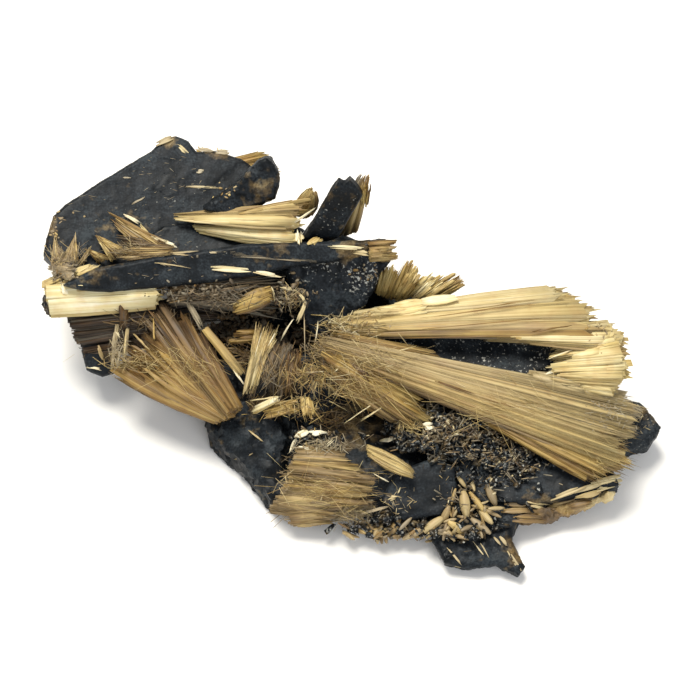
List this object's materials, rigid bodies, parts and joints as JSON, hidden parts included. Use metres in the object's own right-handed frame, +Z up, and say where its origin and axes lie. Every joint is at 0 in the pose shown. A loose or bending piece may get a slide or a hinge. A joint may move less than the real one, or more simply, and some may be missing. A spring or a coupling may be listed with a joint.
{
  "type": "rutile on hematite mineral specimen",
  "caption": "Loose mineral specimen: black tabular hematite crystals with sheaves of golden rutile needles grown over and between them.",
  "frame": {"origin": "middle of the specimen's footprint, in the plane of the flat underside that it rests on", "axes": "+Z up from the resting face; +X along the length, towards the pointed hematite tip; +Y towards the raised upper plate"},
  "size_m": [0.044, 0.0318, 0.0151],
  "materials": {
    "hematite": "near-black with a submetallic lustre, tiny bright glints and pale inlaid needles",
    "rutile_needles": "straw-gold parallel needles with a silky lustre, brown in the gaps between them",
    "rutile_grains": "short thick honey-coloured needles with a silky lustre"
  },
  "bodies": {
    "root": {"hematite_back_blade": "hematite", "hematite_base": "hematite", "hematite_centre_plate": "hematite", "hematite_front_foot": "hematite", "hematite_keel_blade": "hematite", "hematite_lance": "hematite", "hematite_left_block": "hematite", "hematite_left_nub": "hematite", "hematite_lower_plate": "hematite", "hematite_lower_right_blade": "hematite", "hematite_ridge_blade": "hematite", "hematite_right_tip": "hematite", "hematite_rubble": "hematite", "hematite_standing_blade": "hematite", "hematite_step_plate": "hematite", "hematite_upper_knob": "hematite", "hematite_upper_plate": "hematite", "rutile_back_fan": "rutile_needles", "rutile_back_fin": "rutile_needles", "rutile_back_lump": "rutile_needles", "rutile_back_tuft": "rutile_needles", "rutile_blade_backing": "rutile_needles", "rutile_centre_stick": "rutile_needles", "rutile_centre_tangle": "rutile_needles", "rutile_front_bundle": "rutile_needles", "rutile_front_grains": "rutile_grains", "rutile_great_fan": "rutile_needles", "rutile_leaf": "rutile_needles", "rutile_left_fan": "rutile_needles", "rutile_left_grains": "rutile_grains", "rutile_left_lath": "rutile_needles", "rutile_left_post": "rutile_needles", "rutile_left_spray": "rutile_needles", "rutile_left_tuft": "rutile_needles", "rutile_lower_edge": "rutile_needles", "rutile_lower_slab": "rutile_needles", "rutile_lozenge": "rutile_needles", "rutile_rear_fan": "rutile_needles", "rutile_ridge_cap": "rutile_needles", "rutile_ridge_crust": "rutile_needles", "rutile_right_lobe": "rutile_needles", "rutile_thin_rod": "rutile_needles", "rutile_under_lath": "rutile_needles", "rutile_upper_grains": "rutile_grains", "rutile_upper_lath": "rutile_needles", "rutile_upper_right_fan": "rutile_needles", "rutile_upper_wedge": "rutile_needles"}
  },
  "joints": []
}
